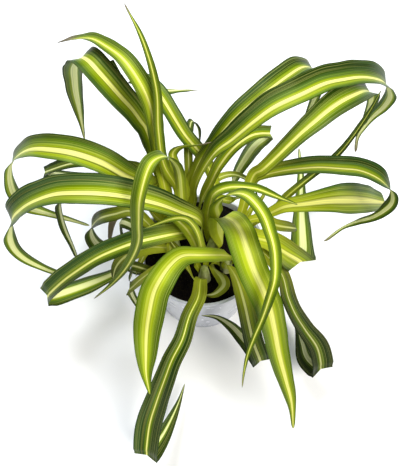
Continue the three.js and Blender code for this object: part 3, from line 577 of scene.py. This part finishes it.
def even_places(points):
    """Places at even steps along the centripetal curve through points, its tangents there and its length."""
    points = [2 * points[0] - points[1], *points, 2 * points[-1] - points[-2]]
    places, slopes = [], []
    t = np.linspace(0, 1, CURVE_SAMPLES)[:, None]
    for p0, p1, p2, p3 in zip(points, points[1:], points[2:], points[3:]):
        d0, d1, d2 = (math.sqrt(np.linalg.norm(b - a)) for a, b in ((p0, p1), (p1, p2), (p2, p3)))
        leave = ((p1 - p0) / d0 - (p2 - p0) / (d0 + d1) + (p2 - p1) / d1) * d1
        reach = ((p2 - p1) / d1 - (p3 - p1) / (d1 + d2) + (p3 - p2) / d2) * d1
        square = 3 * (p2 - p1) - 2 * leave - reach
        cube = 2 * (p1 - p2) + leave + reach
        places.append(p1 + leave * t + square * t**2 + cube * t**3)
        slopes.append((leave + 2 * square * t + 3 * cube * t**2) / d1)
    places, slopes = np.concatenate(places), np.concatenate(slopes)
    steps = np.linalg.norm(np.diff(places, axis=0), axis=1)
    travelled = np.concatenate([[0], np.cumsum(steps)])
    count = max(LEAST_SPINE_STEPS, round(travelled[-1] * SPINE_STEPS_PER_MM))
    evenly = np.linspace(0, travelled[-1], count + 1)

    def spread(table):
        return np.stack([np.interp(evenly, travelled, column) for column in table.T], 1)

    return spread(places), [unit(slope) for slope in spread(slopes)], travelled[-1]


def shoot_height(shoot):
    leaf_count = sum(leaf.shoot == shoot for leaf in LEAVES)
    return LOWEST_SEAT + SEAT_STEP * leaf_count + CROWN_HEADROOM


def crown_radius(shoot, height):
    """Radius of a shoot's skin at a height above the mix."""
    return mix(CROWN_RADIUS, CROWN_TIP_RADIUS, height / shoot_height(shoot))


def foot_of(leaf, order):
    """A leaf's foot: the side of its shoot it stands on and the first two points of its middle line."""
    height = LOWEST_SEAT + SEAT_STEP * order
    axis = np.array([*SHOOTS[leaf.shoot], SOIL_TOP + height])
    away = unit((np.array(leaf.line[0][0]) - axis) * (1, 1, 0))
    seat = axis + away * (crown_radius(leaf.shoot, height) + SEAT_CLEARANCE)
    rise = unit(np.array([0, 0, 1]) + away * SEAT_LEAN)
    return away, [seat, seat + rise * SEAT_RUN]


def carry(across, before, after, step):
    """
    Turns the across direction with the middle line's tangent, the shortest way, and lets it settle a little
    towards level, the more the flatter the leaf lies.
    """
    axis = np.cross(before, after)
    swing = np.cross(axis, across)
    turned = across + swing + np.cross(axis, swing) / (1 + before @ after)
    level = np.array([after[1], -after[0], 0]) * np.linalg.norm(after[:2])
    turned = turned + level * math.copysign(step / SETTLING_LENGTH, level @ turned)
    return unit(turned - after * (turned @ after))


def parts_of(leaf, order):
    """
    A leaf's rows, part by part, and the skew of the crease after each part but the last. Each row is a place
    on the middle line with what the blade needs there.
    """
    away, foot = foot_of(leaf, order)
    lines = [[np.array(point, float) for point in part] for part in leaf.line]
    middle = lines[0][len(lines[0]) // 2]
    facing = unit((foot[0] - middle) * (1, 1, 0))
    lines[0] = foot + lines[0]
    parts, skews = [], []
    travelled = 0
    for line in lines:
        places, tangents, length = even_places(line)
        first = tangents[0]
        if parts:
            before = parts[-1][-1].tangent
            turn = math.atan2(1 - before @ first, across @ first)
            fold = before * math.cos(turn) + across * math.sin(turn)
            across = unit(fold - first * math.cos(turn))
            skews.append(1 / math.tan(turn))
        else:
            across = unit(np.cross(first, facing))
            at_foot = unit(np.cross(away, first))
            foot_twist = math.atan2(first @ np.cross(across, at_foot), across @ at_foot)
        step = length / (len(places) - 1)
        part = []
        for i, (at, tangent) in enumerate(zip(places, tangents)):
            if i:
                across = carry(across, tangents[i - 1], tangent, step)
            part.append(SimpleNamespace(at=at, tangent=tangent, across=across, along=travelled + step * i))
        parts.append(part)
        travelled += length
    for row in [row for part in parts for row in part]:
        row.share = row.along / travelled
        roll = math.radians(value_along(leaf.rolls, row.share)) if leaf.rolls else 0
        twist = foot_twist * (1 - smooth(row.along, SEAT_RUN, FOOT_TWIST_LENGTH))
        row.across = spun(row.across, row.tangent, roll + twist)
        spread_row(row, leaf, travelled)
    return parts, skews


def channel_at(share):
    """How far the edges stand up above the midrib, per unit of half width."""
    if share < CHANNEL_MIDDLE_SHARE:
        return mix(CHANNEL_BASE, CHANNEL_MIDDLE, share / CHANNEL_MIDDLE_SHARE)
    past_middle = (share - CHANNEL_MIDDLE_SHARE) / (1 - CHANNEL_MIDDLE_SHARE)
    return mix(CHANNEL_MIDDLE, CHANNEL_TIP, past_middle)


def spread_row(row, leaf, total):
    """Gives a row its width, its upper side and its channel."""
    from_tip = min(1, max(0, (total - row.along) / TIP_LENGTH))
    row.half = value_along(leaf.widths, row.share) / 2 * mix(TIP_WIDTH, 1, math.sqrt(from_tip))
    row.upward = np.cross(row.across, row.tangent)
    row.side = row.across * row.half
    row.lift = channel_at(row.share) * row.half
    row.draw_in = np.zeros(3)


def lean_to_crease(row, skew, notch, outward, distance):
    """Turns a row near a crease towards its line, flattens it, and moves it aside by the fold's radius."""
    share = 1 - smooth(distance, 0, max(SKEW_REACH * abs(skew) * row.half, FOLD_REACH))
    row.side = row.side + row.tangent * (skew * row.half * share)
    row.draw_in = row.draw_in + notch * (CREASE_NOTCH * row.half * share)
    row.at = row.at + outward * (FOLD_RADIUS * share)
    row.lift *= 1 - share


def fold(before, after, skew):
    """Folds the blade between two parts. Returns the rows round the nose of the crease."""
    end, start = before[-1], after[0]
    crease = unit(end.across + end.tangent * skew)
    back = unit(crease * (end.tangent @ crease) - end.tangent)
    ahead = unit(start.tangent - crease * (start.tangent @ crease))
    outside = -math.copysign(1, ahead @ end.upward)
    notch = unit(start.tangent - end.tangent)
    leave, reach = outside * end.upward, outside * start.upward
    place = end.at
    for row in before:
        lean_to_crease(row, skew, notch, leave, end.along - row.along)
    for row in after:
        lean_to_crease(row, skew, notch, reach, row.along - start.along)
    nose = -unit(back + ahead)
    beside = unit(leave - nose * (leave @ nose))
    half_turn = math.atan2(leave @ beside, leave @ nose)
    rows = []
    for i in range(1, FOLD_STEPS + 1):
        angle = half_turn * (1 - 2 * i / (FOLD_STEPS + 1))
        outward = nose * math.cos(angle) + beside * math.sin(angle)
        row = SimpleNamespace(**vars(end))
        row.at = place + outward * FOLD_RADIUS
        row.upward = outward * outside
        rows.append(row)
    return rows


def spine_mesh(leaf, order):
    """A leaf's spine: one point for each row of its blade, with what the row needs as attributes."""
    parts, skews = parts_of(leaf, order)
    noses = [fold(before, after, skew) for before, after, skew in zip(parts, parts[1:], skews)]
    rows = parts[0] + [row for nose, part in zip(noses, parts[1:]) for row in nose + part]
    mesh = bpy.data.meshes.new(leaf.name)
    mesh.from_pydata([tuple(row.at * MM) for row in rows], [], [])
    units = {"side": MM, "upward": 1, "draw_in": MM, "lift": MM, "along": MM, "share": 1}
    for name, unit_size in units.items():
        values = np.array([getattr(row, name) for row in rows], np.float32) * unit_size
        kind, field = ("FLOAT_VECTOR", "vector") if values.ndim > 1 else ("FLOAT", "value")
        mesh.attributes.new(name, kind, "POINT").data.foreach_set(field, values.ravel())
    return mesh


# ---- Leaves ----


def blade_tree():
    """
    Lays a closed blade along a spine. A tube with one ring of points for each row of the spine is moved into
    place: the first half of a ring is the upper face from edge to edge, the rest is the lower face, back.
    """
    numbers = dict.fromkeys([*BLADE_SIZES, "Midrib Rounding", *MARKS], "Float")
    inputs = {"Rows": "Int", "Columns": "Int", **numbers, "Finish": "Material"}
    tree, graph, given = geometry_tree("leaf blade", inputs)
    columns = given["Columns"]
    ring = columns * 2
    tube = graph.add("GeometryNodeMeshCylinder", {"Vertices": ring, "Side Segments": given["Rows"] - 1})
    index = graph.add("GeometryNodeInputIndex")
    row = graph.math("FLOOR", index / ring)
    place = index - row * ring
    under = graph.math("GREATER_THAN", place, columns - 0.5)
    column = place + under * (ring - 1 - place * 2)
    across = graph.math("SINE", column / (columns - 1) * -math.pi + math.pi / 2)

    def sampled(value, kind):
        """A value of the spine's point for this row."""
        feeds = {"Geometry": given["Geometry"], "Value": value, "Index": row}
        return graph.add("GeometryNodeSampleIndex", feeds, data_type=kind)

    def stored(name, kind="FLOAT"):
        value = graph.add("GeometryNodeInputNamedAttribute", {"Name": name}, data_type=kind)
        return sampled(value, kind)

    def bend(distance):
        """The channel's rise at a distance from the midrib, where it turns gently."""
        rounding = given["Midrib Rounding"]
        return graph.math("SQRT", rounding**2 + distance * distance) - rounding

    along, share = stored("along"), stored("share")
    out = abs(across)
    lift = stored("lift") * (bend(out) / bend(1.0))
    body = given["Thickness"] - given["Edge Thickness"]
    thick = body * (1 - out**2) + given["Edge Thickness"]
    turn = along / given["Ripple Length"] * (2 * math.pi) + given["seed"]
    free = graph.ease(share, 0.1, 0.35) * out**3
    wave = graph.math("SINE", across * RIPPLE_SLANT + turn) * free * given["Ripple Height"]
    rise = lift + thick * (0.5 - under) + wave
    place = sampled(graph.add("GeometryNodeInputPosition"), "FLOAT_VECTOR")
    for name, amount in {"side": across, "upward": rise, "draw_in": 1 - out}.items():
        feeds = {"Vector": stored(name, "FLOAT_VECTOR"), "Scale": amount}
        step = graph.add("ShaderNodeVectorMath", feeds, operation="SCALE")
        place = graph.add("ShaderNodeVectorMath", {0: place, 1: step}, operation="ADD")
    blade = graph.add("GeometryNodeSetPosition", {"Geometry": tube, "Position": place})
    marks = {"across": across, "along": along, "share": share, "under": under}
    for name, value in (marks | {name: given[name] for name in MARKS}).items():
        feeds = {"Geometry": blade, "Name": name, "Value": value}
        blade = graph.add("GeometryNodeStoreNamedAttribute", feeds, data_type="FLOAT", domain="POINT")
    close_tree(graph, blade, given["Finish"])
    return tree


def make_leaves():
    tree = blade_tree()
    finishes = {name: leaf_finish(name) for name in LEAF_COLORS}
    used = dict.fromkeys(SHOOTS, 0)
    for number, leaf in enumerate(LEAVES):
        blade = add_object(f"blade_{leaf.name}", spine_mesh(leaf, used[leaf.shoot]))
        used[leaf.shoot] += 1
        values = {
            "Rows": len(blade.data.vertices),
            "Columns": BLADE_COLUMNS,
            **{name: size * MM for name, size in BLADE_SIZES.items()},
            "Midrib Rounding": MIDRIB_ROUNDING,
            "seed": SEED_STEP * number,
            **{name: float(getattr(leaf, name)) for name in MARKS[1:]},
            "Finish": finishes[leaf.finish],
        }
        grow(blade, tree, values)
        hand_over(blade, f"leaf_{leaf.finish}", f"leaf_{leaf.name}")


# ---- Finishes ----


def tint(*values):
    """A colour in the usual 0 to 255 values, made linear for a shader."""
    shares = [value / 255 for value in values]
    linear = [share / 12.92 if share <= 0.04045 else ((share + 0.055) / 1.055) ** 2.4 for share in shares]
    return (*linear, 1.0)


class Finish(Graph):
    """A material and the graph of its nodes."""

    def __init__(self, name):
        self.material = bpy.data.materials.new(name)
        self.material.use_nodes = True
        super().__init__(self.material.node_tree)
        self.surface = self.tree.nodes["Principled BSDF"]

    def mark(self, name):
        """A number that the piece carries as an attribute."""
        return self.add("ShaderNodeAttribute", out="Fac", attribute_name=name)

    def noise(self, scale, vector=None, detail=2.0, roughness=0.5):
        vector = vector or self.add("ShaderNodeTexCoord", out="Object")
        feeds = {"Vector": vector, "Scale": scale, "Detail": detail, "Roughness": roughness}
        return self.add("ShaderNodeTexNoise", feeds)

    def ramp(self, value, stops):
        """A colour for a value, from (position, colour) stops."""
        output = self.add("ShaderNodeValToRGB", {"Fac": value}, out="Color")
        elements = output.socket.node.color_ramp.elements
        while len(elements) < len(stops):
            elements.new(1.0)
        for element, (position, color) in zip(elements, stops):
            element.position = position
            element.color = color
        return output

    def blend(self, share, first, second):
        feeds = {0: share, 6: first, 7: second}
        return self.add("ShaderNodeMix", feeds, out=2, data_type="RGBA")

    def bump(self, height, distance, strength=1.0):
        feeds = {"Height": height, "Distance": distance, "Strength": strength}
        return self.add("ShaderNodeBump", feeds)

    def finish(self, **sockets):
        for name, value in sockets.items():
            self.feed(self.surface.inputs[name.replace("_", " ")], value)
        return self.material


def leaf_finish(name):
    """
    A striped leaf. From its stripe out: cream, an olive line beside it, yellowish flesh that deepens to
    green, and a dark margin, all drawn in fine streaks along the leaf. The underside has a broad pale band.
    The leaf is yellower at its foot and darker outwards, patches of its green carry a faint painted sheen, a
    bluish painted reflection, and a tip may be dry.
    """
    cream, line, flesh, blade, margin, pale = (tint(*color) for color in LEAF_COLORS[name])
    leaf = Finish(f"{name} leaf")
    across, along, share, under = (leaf.mark(mark) for mark in ("across", "along", "share", "under"))
    seed, stripe, band, dry, shade = (leaf.mark(mark) for mark in MARKS)

    def streaks(lines_across, lines_along, detail=2.0):
        """Noise drawn out along the leaf, from 0 to 1."""
        place = {"X": across * lines_across, "Y": along * lines_along, "Z": seed}
        return leaf.noise(1.0, leaf.add("ShaderNodeCombineXYZ", place), detail=detail)

    broad, fine, hair = streaks(3.0, 5.0), streaks(12.0, 2.5), streaks(30.0, 4.0, detail=1.0)
    place = abs(across - stripe) / band + (broad - 0.5) * 0.2 + (fine - 0.5) * 0.22
    outward = leaf.math("MAXIMUM", leaf.ease(share, 0.15, 0.8), shade)

    stripe_edge = [(0.0, cream), (0.1, cream), (0.19, line), (0.25, flesh)]
    near = [*stripe_edge, (0.42, flesh), (0.66, blade), (1.0, margin)]
    far = [(0.0, flesh), (0.32, flesh), (0.52, blade), (0.88, margin)]
    below = [(0.0, pale), (0.3, pale), (0.38, flesh), (0.55, blade), (0.95, margin)]
    deeper = leaf.ramp(place + outward * 0.1 + shade * 0.22, far)
    color = leaf.blend(outward * leaf.ease(place, 0.18, 0.26), leaf.ramp(place, near), deeper)
    color = leaf.blend(under, color, leaf.ramp(place, below))

    dark = leaf.blend(0.7, color, margin)
    strength = 1 - shade * 0.5
    color = leaf.blend(leaf.ease(fine, 0.5, 0.7) * 0.5 * strength, color, dark)
    color = leaf.blend(leaf.ease(hair, 0.52, 0.68) * 0.3 * strength, color, dark)
    color = leaf.blend(leaf.ease(hair, 0.48, 0.34) * 0.4, color, leaf.blend(0.5, color, cream))
    # painted sheen: patches of the outer green are tinted bluish as a painted reflection of the sky
    painted_sheen = leaf.ease(broad, 0.45, 0.62) * leaf.ease(place, 0.3, 0.6) * leaf.ease(share, 0.12, 0.45)
    color = leaf.blend(painted_sheen * LEAF_PAINTED_SHEEN[name], color, tint(*PAINTED_SHEEN_COLOR))
    color = leaf.blend(leaf.ease(abs(across), 0.9, 1.0) * 0.75, color, margin)
    foot = 1 - leaf.ease(broad * 0.03 + along, 0.02, 0.12)
    color = leaf.blend(foot * 0.65, color, tint(*FOOT_COLOR))
    past = leaf.add("ShaderNodeClamp", {"Value": ((fine - 0.5) * 0.06 + share - (1 - dry)) * 18.0})
    husk = [(stop, tint(*color)) for stop, color in zip((0.3, 0.7), HUSK_COLORS)]
    color = leaf.blend(past, color, leaf.ramp(fine, husk))
    veins = leaf.math("SINE", across * 62.0)
    return leaf.finish(
        Base_Color=color,
        Roughness=under * 0.2 + (broad * 0.2 + 0.3),
        Normal=leaf.bump(veins * 0.4 + leaf.noise(140.0), 0.0003, 0.5),
        Specular_IOR_Level=0.16,
        Specular_Tint=(0.8, 0.95, 0.4, 1.0),
    )


def pot_finish():
    """Glossy white plastic, a little uneven, with faint patches of dust."""
    pot = Finish("white pot")
    cloud = pot.noise(18.0, detail=4.0)
    dust = pot.ease(pot.noise(60.0, detail=6.0, roughness=0.65), 0.5, 0.8)
    color = pot.ramp(cloud, [(0.3, tint(192, 195, 206)), (0.7, tint(212, 215, 226))])
    color = pot.blend(dust * 0.12, color, tint(150, 144, 134))
    return pot.finish(Base_Color=color, Roughness=dust * 0.25 + 0.2, Normal=pot.bump(cloud, 0.0006, 0.3))


def soil_finish():
    """Damp, nearly black mix with browner bits."""
    soil = Finish("potting mix")
    grain = soil.noise(420.0, detail=5.0, roughness=0.7)
    color = soil.ramp(grain, [(0.35, tint(8, 6, 5)), (0.6, tint(22, 17, 12)), (0.8, tint(50, 38, 28))])
    bump = soil.bump(grain, 0.0012)
    return soil.finish(Base_Color=color, Roughness=0.9, Specular_IOR_Level=0.1, Normal=bump)


def crown_finish():
    """Pale, ribbed sheaths, greener upwards."""
    crown = Finish("pale crown")
    place = crown.add("ShaderNodeTexCoord", out="Object")
    long = crown.add("ShaderNodeMapping", {"Vector": place, "Scale": (260.0, 260.0, 22.0)})
    rib = crown.noise(1.0, long, detail=3.0)
    height = crown.add("ShaderNodeSeparateXYZ", {"Vector": place}, out="Z")
    color = crown.ramp(rib, [(0.3, tint(150, 158, 84)), (0.7, tint(222, 224, 168))])
    green = crown.ease(height, SOIL_TOP * MM, (SOIL_TOP + CROWN_GREENING) * MM)
    color = crown.blend(green * 0.5, color, tint(140, 160, 50))
    return crown.finish(Base_Color=color, Roughness=0.5, Normal=crown.bump(rib, 0.0006))


# ---- Pot, mix and crowns ----


def outer_radius(height):
    return mix(POT_BASE_RADIUS, POT_RIM_RADIUS - LIP_STEP, height / POT_HEIGHT)


def inner_radius(height):
    return outer_radius(height) - POT_WALL


def make_pot(finish):
    """A tapered pot with a rolled lip, a shallow foot ring and drain holes."""
    lip_foot = POT_HEIGHT - LIP_HEIGHT
    corners = [
        (0, FOOT_RING_HEIGHT),
        (POT_BASE_RADIUS - FOOT_RING_WIDTH - 1, FOOT_RING_HEIGHT),
        (POT_BASE_RADIUS - FOOT_RING_WIDTH, 0),
        (outer_radius(0), 0),
        (outer_radius(lip_foot), lip_foot),
        (POT_RIM_RADIUS, lip_foot + LIP_SLANT),
        (POT_RIM_RADIUS, POT_HEIGHT),
        (inner_radius(POT_HEIGHT), POT_HEIGHT),
        (inner_radius(POT_FLOOR), POT_FLOOR),
        (0, POT_FLOOR),
    ]
    pot = add_object("pot_shell", turned_mesh("pot_shell", rounded(corners, POT_ROUNDING), POT_SIDES))
    drain = [(0, -POT_FLOOR), (DRAIN_RADIUS, -POT_FLOOR), (DRAIN_RADIUS, 3 * POT_FLOOR), (0, 3 * POT_FLOOR)]
    angles = [(i + 0.5) / DRAIN_COUNT * 2 * math.pi for i in range(DRAIN_COUNT)]
    cut_holes(pot, drain, [(DRAIN_CIRCLE * math.cos(a), DRAIN_CIRCLE * math.sin(a), 0) for a in angles])
    pot.data.materials.clear()
    pot.data.materials.append(finish)
    hand_over(pot, "pot_white", "pot")


def root_side(gap):
    """The side of a root up to its crown's neck, widened by a gap. Heights are from the top of the mix."""
    return [
        (ROOT_TIP_RADIUS + gap, -ROOT_DEPTH - gap),
        (CROWN_RADIUS * ROOT_BULGE + gap, -ROOT_DEPTH * ROOT_BULGE_DEPTH),
        (CROWN_RADIUS + gap, -NECK_DEPTH),
    ]


def soil_lumps(x, y):
    """The lumps in the top of the mix."""
    coarse = math.sin(x * 0.31 + y * 0.17) + math.sin(x * -0.21 + y * 0.37 + 1.3)
    return SOIL_RELIEF * (coarse + 0.7 * math.sin(x * 0.63 - y * 0.11)) / 2.7


def crumb_tree():
    """Strews crumbs over the upward faces of the mix, each turned and sized by a seeded draw."""
    inputs = {"Size": "Float", "Density": "Float", "Seed": "Int", "Finish": "Material"}
    tree, graph, given = geometry_tree("crumbs", inputs)
    normal = graph.add("GeometryNodeInputNormal")
    upright = graph.add("ShaderNodeSeparateXYZ", {"Vector": normal}, out="Z")
    upward = graph.math("GREATER_THAN", upright, CRUMB_SLOPE)
    feeds = {"Mesh": given["Geometry"], "Selection": upward}
    feeds.update({name: given[name] for name in ("Density", "Seed")})
    points = graph.add("GeometryNodeDistributePointsOnFaces", feeds)
    crumb = graph.add("GeometryNodeMeshIcoSphere", {"Radius": given["Size"] * 0.5})

    def drawn(least, most, seed):
        feeds = {0: least, 1: most, "Seed": seed}
        return graph.add("FunctionNodeRandomValue", feeds, data_type="FLOAT_VECTOR")

    turn = drawn((0.0,) * 3, (CRUMB_TURN,) * 3, given["Seed"])
    size = drawn(CRUMB_LEAST, CRUMB_MOST, given["Seed"] + 1)
    feeds = {"Points": points, "Instance": crumb, "Rotation": turn, "Scale": size}
    strewn = graph.add("GeometryNodeInstanceOnPoints", feeds)
    both = graph.add("GeometryNodeJoinGeometry", {"Geometry": strewn})
    graph.feed(both.socket.node.inputs["Geometry"], given["Geometry"])
    close_tree(graph, both, given["Finish"])
    return tree


def make_soil(finish):
    """The mix that fills the pot: a lumpy bed with a hole for each shoot and crumbs on top."""
    rim = inner_radius(SOIL_TOP) - FIT_GAP
    foot = inner_radius(POT_FLOOR) - FIT_GAP - MIX_FOOT_INSET
    surface = [(rim * ring / MIX_RINGS, SOIL_TOP) for ring in range(MIX_RINGS, -1, -1)]
    profile = [(0, POT_FLOOR + FIT_GAP), (foot, POT_FLOOR + FIT_GAP), *surface]

    def lumpy(x, y, z):
        if z < SOIL_TOP:
            return (x, y, z)
        inside = 1 - smooth(math.hypot(x, y), rim * LUMPS_END, rim)
        return (x, y, z + inside * soil_lumps(x, y))

    bed = add_object("mix_bed", turned_mesh("mix_bed", profile, MIX_SIDES, lumpy))
    top = 2 * SOIL_RELIEF
    hole = [(0, -ROOT_DEPTH - HOLE_POINT), *root_side(FIT_GAP), (CROWN_RADIUS + FIT_GAP, top), (0, top)]
    cut_holes(bed, hole, [(*at, SOIL_TOP) for at in SHOOTS.values()])
    values = {"Size": CRUMB_SIZE * MM, "Density": float(CRUMB_DENSITY), "Seed": CRUMB_SEED, "Finish": finish}
    grow(bed, crumb_tree(), values)
    hand_over(bed, "potting_mix", "potting_mix")


def make_crowns(finish):
    """The pale base of each shoot, ribbed by the sheaths of its leaves, on its fleshy root."""
    for shoot, (x, y) in SHOOTS.items():
        top = shoot_height(shoot)
        corners = [
            (0, -ROOT_DEPTH),
            *root_side(0),
            (CROWN_RADIUS, 0),
            *[(crown_radius(shoot, top * share), top * share) for share in (0.2, 0.4, 0.6, 0.8, 0.93)],
            (CROWN_TIP_RADIUS * 0.5, top),
            (0, top),
        ]

        def ribbed(dx, dy, z, x=x, y=y):
            wave = math.sin(CROWN_RIBS * math.atan2(dy, dx) + z * RIB_TWIST)
            rib = 1 - RIB_DEPTH * (0.5 + 0.5 * wave) ** 2
            return (x + dx * rib, y + dy * rib, SOIL_TOP + z)

        name = f"sheaths_{shoot}"
        profile = rounded(corners, CROWN_ROUNDING, steps=3)
        crown = add_object(name, turned_mesh(name, profile, CROWN_SIDES, ribbed))
        crown.data.materials.append(finish)
        hand_over(crown, "crown_pale", f"crown_{shoot}")


# ---- Floor, light and camera ----


def make_floor():
    corners = [(-1, -1), (1, -1), (1, 1), (-1, 1)]
    mesh = bpy.data.meshes.new("floor")
    mesh.from_pydata([(x * FLOOR_HALF, y * FLOOR_HALF, 0) for x, y in corners], [], [range(4)])
    floor = add_object("floor", mesh)
    paper = Finish("pale floor")
    mesh.materials.append(paper.finish(Base_Color=tint(250, 250, 251), Roughness=0.9))


def add_light(name, place, size, power, color):
    """A large soft light that faces the middle of the plant."""
    light = bpy.data.lights.new(name, "AREA")
    light.shape = "DISK"
    light.size = size
    light.energy = power
    light.color = color
    lamp = add_object(name, light)
    lamp.location = place
    lamp.rotation_euler = (Vector(LIGHT_TARGET) - lamp.location).to_track_quat("-Z", "Y").to_euler()


def make_light():
    world = bpy.data.worlds.new("studio")
    world.use_nodes = True
    sky = world.node_tree.nodes["Background"]
    sky.inputs["Color"].default_value = tint(*SKY_COLOR)
    sky.inputs["Strength"].default_value = SKY_STRENGTH
    bpy.context.scene.world = world
    for light in LIGHTS:
        add_light(*light)
    bpy.context.scene.view_settings.view_transform = "Standard"


def make_camera():
    camera = bpy.data.cameras.new("camera")
    camera.sensor_width = CAMERA_SENSOR
    camera.lens = CAMERA_LENS
    holder = add_object("camera", camera)
    holder.location = [c * MM for c in CAMERA_PLACE]
    holder.rotation_euler = (math.radians(90 - CAMERA_ELEVATION), 0, 0)
    bpy.context.scene.camera = holder


make_camera()
make_light()
make_floor()
make_pot(pot_finish())
make_soil(soil_finish())
make_crowns(crown_finish())
make_leaves()

bpy.context.view_layer.update()
